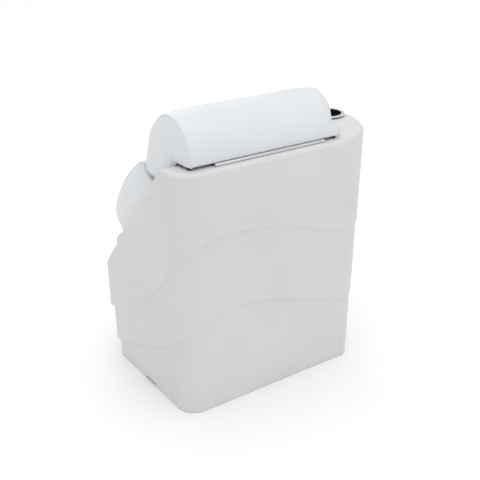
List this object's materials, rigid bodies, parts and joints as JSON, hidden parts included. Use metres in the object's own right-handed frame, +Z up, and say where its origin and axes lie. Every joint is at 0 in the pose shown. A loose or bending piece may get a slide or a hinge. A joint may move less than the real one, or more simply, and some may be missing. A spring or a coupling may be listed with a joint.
{
  "type": "lean-back seat base",
  "caption": "Hollow moulded lean-back seat base with wave steps, a hinged half-round bolster lid over its storage, a padded sloping back cushion and a drop-in drink holder.",
  "frame": {"origin": "centre of the deck bolt pattern on the resting face, under the middle of the footprint", "axes": "+Z up, +Y towards the flat back wall, -Y towards the padded side, -X towards the drink holder"},
  "size_m": [0.6995, 0.4645, 0.8],
  "materials": {
    "shell_plastic": "fine moulded grain",
    "cover_vinyl": "soft grained vinyl",
    "cushion_foam": "open-cell foam",
    "board_wood": "plywood",
    "black_rubber": "dull",
    "cup_plastic": "gloss",
    "trim_steel": "polished",
    "hinge_steel": "satin",
    "screw_steel": "satin"
  },
  "bodies": {
    "base": {"base_shell": "shell_plastic", "lid_bumpers": "black_rubber", "hinge_base_leaf": "hinge_steel", "hinge_pin": "hinge_steel", "hinge_base_screws": "screw_steel", "pad_board": "board_wood", "pad_foam": "cushion_foam", "pad_cover": "cover_vinyl", "pad_end_panels": "cover_vinyl", "pad_tee_nuts": "screw_steel", "pad_screws": "screw_steel", "pad_staples": "screw_steel"},
    "bolster_lid": {"hinge_lid_leaf": "hinge_steel", "hinge_lid_screws": "screw_steel", "bolster_deck_board": "board_wood", "bolster_front_board": "board_wood", "bolster_board_screws": "screw_steel", "bolster_foam": "cushion_foam", "bolster_cover": "cover_vinyl", "bolster_end_panels": "cover_vinyl", "bolster_staples": "screw_steel"},
    "drink_holder": {"cup_insert": "cup_plastic", "cup_trim_ring": "trim_steel", "cup_gasket": "black_rubber"}
  },
  "joints": [
    {"name": "lid_hinge", "type": "hinge", "parent": "base", "child": "bolster_lid", "pos_m": [0, 0.209, 0.69275], "axis": [-1, 0, 0], "range_deg": [0, 100]},
    {"name": "cup_lift", "type": "slide", "parent": "base", "child": "drink_holder", "axis": [0, 0, 1], "range_m": [0, 0.11]}
  ]
}
